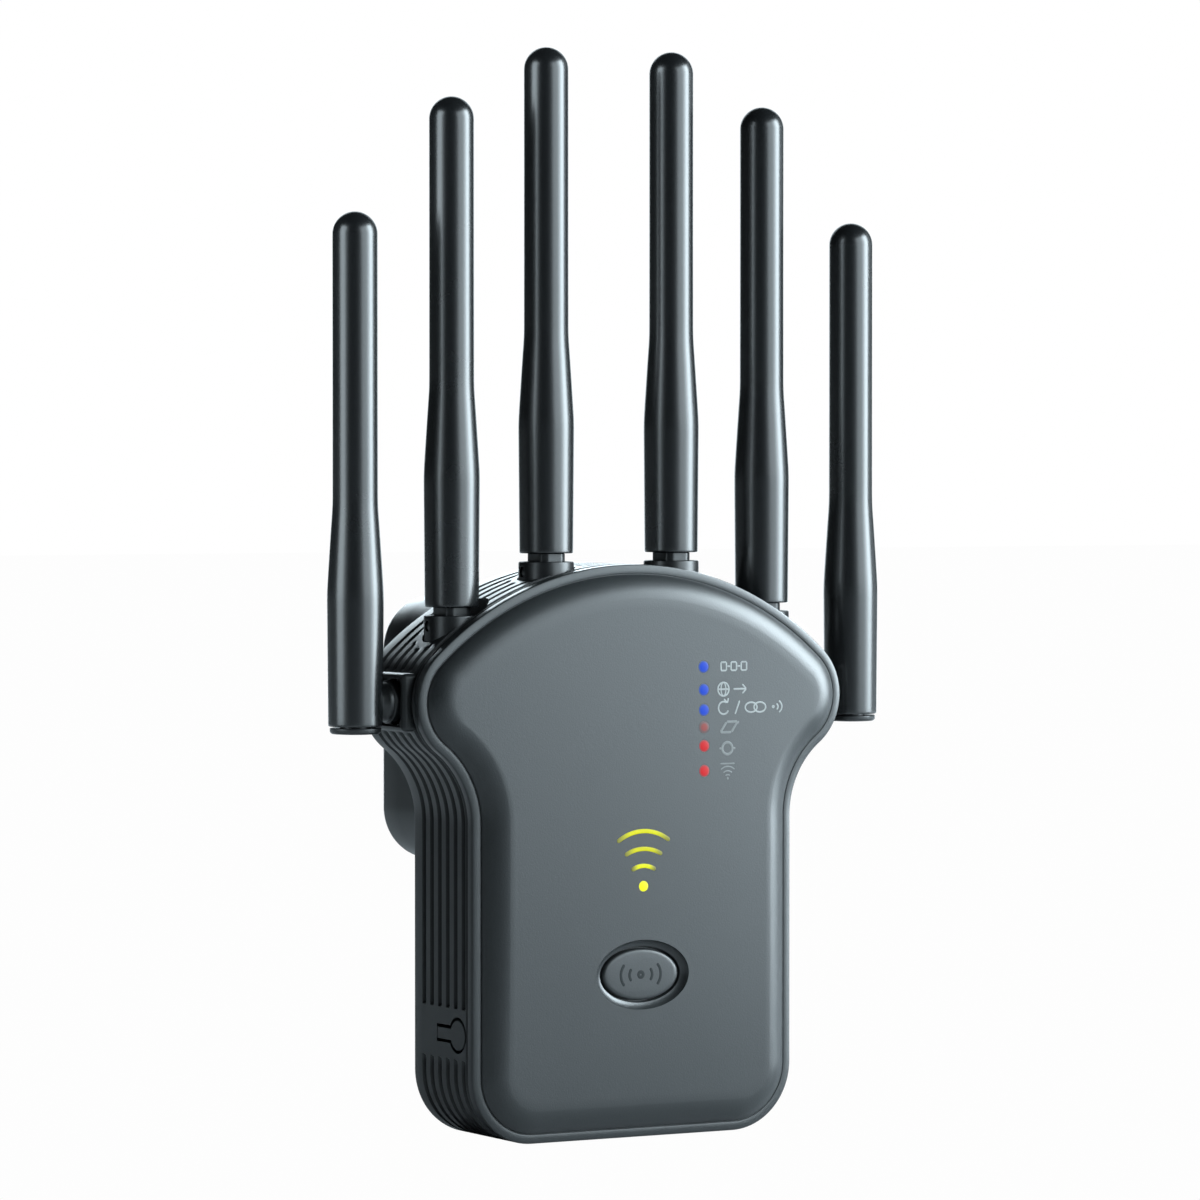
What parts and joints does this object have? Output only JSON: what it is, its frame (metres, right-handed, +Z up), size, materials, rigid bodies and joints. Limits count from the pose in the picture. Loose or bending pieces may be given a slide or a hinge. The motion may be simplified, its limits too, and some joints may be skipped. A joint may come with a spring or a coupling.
{
  "type": "wifi range extender",
  "caption": "Wall-plug wifi range extender: rounded ribbed case with a raised front panel, stick antennas on swivel and side hinges, a push button and flat plug blades.",
  "frame": {"origin": "middle of the flat face of the plug block that meets the wall, on the plug's centre line", "axes": "+Y towards the wall, so the front panel faces -Y; +Z up; +X to the right seen from the front"},
  "size_m": [0.1208, 0.0745, 0.2089],
  "materials": {
    "casing_grey": "satin moulded, fine grain",
    "casing_black": "matt moulded",
    "antenna_black": "semi-gloss moulded",
    "clear_guide": "clear moulded light guide",
    "nickel": "nickel plated",
    "tin": "tin plated sheet",
    "aluminium": "extruded",
    "copper": "bare copper",
    "board_green": "solder mask",
    "switch_black": "moulded",
    "can_black": "shrink sleeve",
    "tape_yellow": "winding tape",
    "ceramic": "ceramic body",
    "coax_grey": "smooth jacket"
  },
  "bodies": {
    "casing": {"antenna_1_coax": "coax_grey", "antenna_2_coax": "coax_grey", "antenna_3_coax": "coax_grey", "antenna_4_coax": "coax_grey", "antenna_5_coax": "coax_grey", "antenna_6_coax": "coax_grey", "bulk_capacitor": "can_black", "cover_screw_1": "nickel", "cover_screw_2": "nickel", "cover_screw_3": "nickel", "cover_screw_4": "nickel", "filter_choke": "copper", "front_cover": "casing_grey", "fuse": "ceramic", "heat_sink": "aluminium", "main_board": "board_green", "output_capacitor": "can_black", "pairing_switch": "switch_black", "plug_blade_left": "nickel", "plug_blade_right": "nickel", "plug_plate": "casing_black", "port_lan": "tin", "port_wan": "tin", "power_board": "board_green", "power_link": "ceramic", "processor": "switch_black", "radio_shield": "tin", "rear_housing": "casing_grey", "reset_switch": "switch_black", "signal_light_guide": "clear_guide", "status_light_guide": "clear_guide", "transformer": "tape_yellow"},
    "antenna_1_arm": {"antenna_1_tube": "antenna_black", "antenna_1_elbow": "antenna_black", "antenna_1_end_cap": "antenna_black", "antenna_1_radiator": "copper"},
    "antenna_6_arm": {"antenna_6_tube": "antenna_black", "antenna_6_elbow": "antenna_black", "antenna_6_end_cap": "antenna_black", "antenna_6_radiator": "copper"},
    "antenna_2_seat": {"antenna_2_base": "antenna_black"},
    "antenna_2_arm": {"antenna_2_tube": "antenna_black", "antenna_2_knuckle": "antenna_black", "antenna_2_radiator": "copper"},
    "antenna_3_seat": {"antenna_3_base": "antenna_black"},
    "antenna_3_arm": {"antenna_3_tube": "antenna_black", "antenna_3_knuckle": "antenna_black", "antenna_3_radiator": "copper"},
    "antenna_4_seat": {"antenna_4_base": "antenna_black"},
    "antenna_4_arm": {"antenna_4_tube": "antenna_black", "antenna_4_knuckle": "antenna_black", "antenna_4_radiator": "copper"},
    "antenna_5_seat": {"antenna_5_base": "antenna_black"},
    "antenna_5_arm": {"antenna_5_tube": "antenna_black", "antenna_5_knuckle": "antenna_black", "antenna_5_radiator": "copper"},
    "pairing_cap": {"pairing_button": "casing_grey"},
    "reset_tongue": {"reset_button": "casing_grey"}
  },
  "joints": [
    {"name": "antenna_1_swing", "type": "hinge", "parent": "casing", "child": "antenna_1_arm", "pos_m": [-0.05505, -0.04517, 0.0073], "axis": [-1, 0, 0], "range_deg": [-90, 90]},
    {"name": "antenna_6_swing", "type": "hinge", "parent": "casing", "child": "antenna_6_arm", "pos_m": [0.05505, -0.04517, 0.0073], "axis": [-1, 0, 0], "range_deg": [-90, 90]},
    {"name": "antenna_2_swivel", "type": "hinge", "parent": "casing", "child": "antenna_2_seat", "pos_m": [-0.03445, -0.04517, 0.01147], "axis": [0, 0, 1], "range_deg": [-90, 90]},
    {"name": "antenna_2_tilt", "type": "hinge", "parent": "antenna_2_seat", "child": "antenna_2_arm", "pos_m": [-0.03445, -0.04517, 0.02147], "axis": [-1, 0, 0], "range_deg": [-15, 15]},
    {"name": "antenna_3_swivel", "type": "hinge", "parent": "casing", "child": "antenna_3_seat", "pos_m": [-0.01389, -0.04517, 0.0215], "axis": [0, 0, 1], "range_deg": [-90, 90]},
    {"name": "antenna_3_tilt", "type": "hinge", "parent": "antenna_3_seat", "child": "antenna_3_arm", "pos_m": [-0.01389, -0.04517, 0.0315], "axis": [-1, 0, 0], "range_deg": [-15, 15]},
    {"name": "antenna_4_swivel", "type": "hinge", "parent": "casing", "child": "antenna_4_seat", "pos_m": [0.01389, -0.04517, 0.0215], "axis": [0, 0, -1], "range_deg": [-90, 90]},
    {"name": "antenna_4_tilt", "type": "hinge", "parent": "antenna_4_seat", "child": "antenna_4_arm", "pos_m": [0.01389, -0.04517, 0.0315], "axis": [-1, 0, 0], "range_deg": [-15, 15]},
    {"name": "antenna_5_swivel", "type": "hinge", "parent": "casing", "child": "antenna_5_seat", "pos_m": [0.03445, -0.04517, 0.01147], "axis": [0, 0, -1], "range_deg": [-90, 90]},
    {"name": "antenna_5_tilt", "type": "hinge", "parent": "antenna_5_seat", "child": "antenna_5_arm", "pos_m": [0.03445, -0.04517, 0.02147], "axis": [-1, 0, 0], "range_deg": [-15, 15]},
    {"name": "pairing_press", "type": "slide", "parent": "casing", "child": "pairing_cap", "axis": [0, 1, 0], "range_m": [0, 0.0005], "stiffness_N_per_m": 600, "springref_m": -0.0005},
    {"name": "reset_press", "type": "hinge", "parent": "casing", "child": "reset_tongue", "pos_m": [-0.03445, -0.0408, -0.0562], "axis": [0, 0, 1], "range_deg": [0, 5], "stiffness_Nm_per_rad": 0.05}
  ]
}
